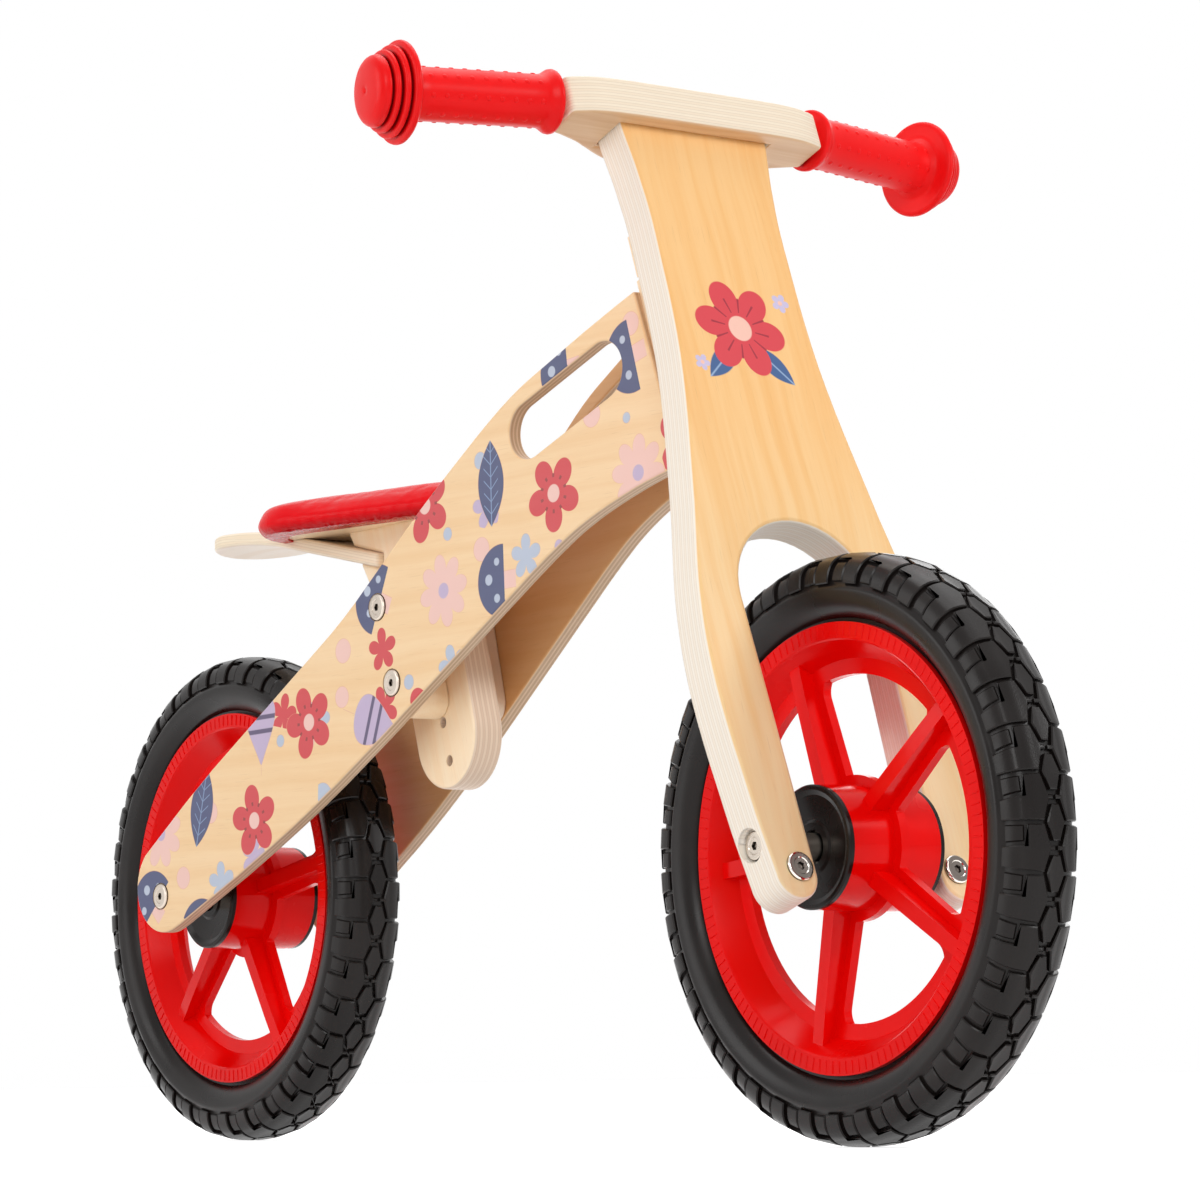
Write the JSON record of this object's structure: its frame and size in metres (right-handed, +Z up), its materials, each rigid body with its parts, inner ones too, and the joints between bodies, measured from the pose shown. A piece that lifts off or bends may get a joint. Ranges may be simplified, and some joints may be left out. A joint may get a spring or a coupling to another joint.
{
  "type": "balance bike",
  "caption": "Toddler's plywood balance bike: turning fork plate, round-ended handlebar with grips, spoked moulded wheels, padded saddle on a post between leaning side panels.",
  "frame": {"origin": "on the ground, midway between the two wheel axles and midway across the bike", "axes": "+X forward, +Y to the rider's left, +Z up"},
  "size_m": [0.87, 0.3798, 0.5567],
  "materials": {
    "printed_ply": "satin lacquer over a printed pastel pattern",
    "fork_ply": "satin lacquer",
    "pale_ply": "satin lacquer",
    "beech": "plain",
    "red_plastic": "gloss",
    "black_plastic": "matte",
    "black_tyre": "matte foam",
    "red_rubber": "soft matte",
    "red_vinyl": "gloss vinyl",
    "zinc_steel": "zinc plated",
    "nickel_steel": "nickel plated"
  },
  "bodies": {
    "frame": {"right_side_panel": "printed_ply", "left_side_panel": "printed_ply", "head_block": "pale_ply", "head_dowels": "beech", "upper_steering_bush": "black_plastic", "lower_steering_bush": "black_plastic", "seat_post": "pale_ply", "right_seat_spacer": "pale_ply", "left_seat_spacer": "pale_ply", "seat_bolts": "nickel_steel", "seat_sleeve_nuts": "nickel_steel", "tail_strip": "pale_ply", "saddle_base": "pale_ply", "saddle_cushion": "red_vinyl", "saddle_screws": "zinc_steel", "rear_axle": "zinc_steel", "rear_axle_spacers": "zinc_steel", "rear_axle_bolts": "nickel_steel"},
    "fork": {"fork_plate": "fork_ply", "handlebar": "pale_ply", "handlebar_screws": "zinc_steel", "right_grip": "red_rubber", "left_grip": "red_rubber", "upper_steering_block": "pale_ply", "lower_steering_block": "pale_ply", "steering_block_screws": "zinc_steel", "steering_bolt": "zinc_steel", "steering_washers": "zinc_steel", "steering_nut": "zinc_steel", "front_axle": "zinc_steel", "front_axle_spacers": "zinc_steel", "front_axle_bolts": "nickel_steel", "fork_foot_bolts": "nickel_steel", "fork_foot_nuts": "nickel_steel"},
    "front_wheel_assembly": {"front_wheel": "red_plastic", "front_tyre": "black_tyre", "front_bearings": "zinc_steel", "front_hub_caps": "black_plastic"},
    "rear_wheel_assembly": {"rear_wheel": "red_plastic", "rear_tyre": "black_tyre", "rear_bearings": "zinc_steel", "rear_hub_caps": "black_plastic"}
  },
  "joints": [
    {"name": "steering", "type": "hinge", "parent": "frame", "child": "fork", "pos_m": [0.18438, 0, 0.35159], "axis": [-0.3338, 0, 0.9426], "range_deg": [-35, 35]},
    {"name": "front_wheel_spin", "type": "hinge", "parent": "fork", "child": "front_wheel_assembly", "pos_m": [0.29, 0, 0.145], "axis": [0, 1, 0], "continuous": true},
    {"name": "rear_wheel_spin", "type": "hinge", "parent": "frame", "child": "rear_wheel_assembly", "pos_m": [-0.29, 0, 0.145], "axis": [0, 1, 0], "continuous": true}
  ]
}
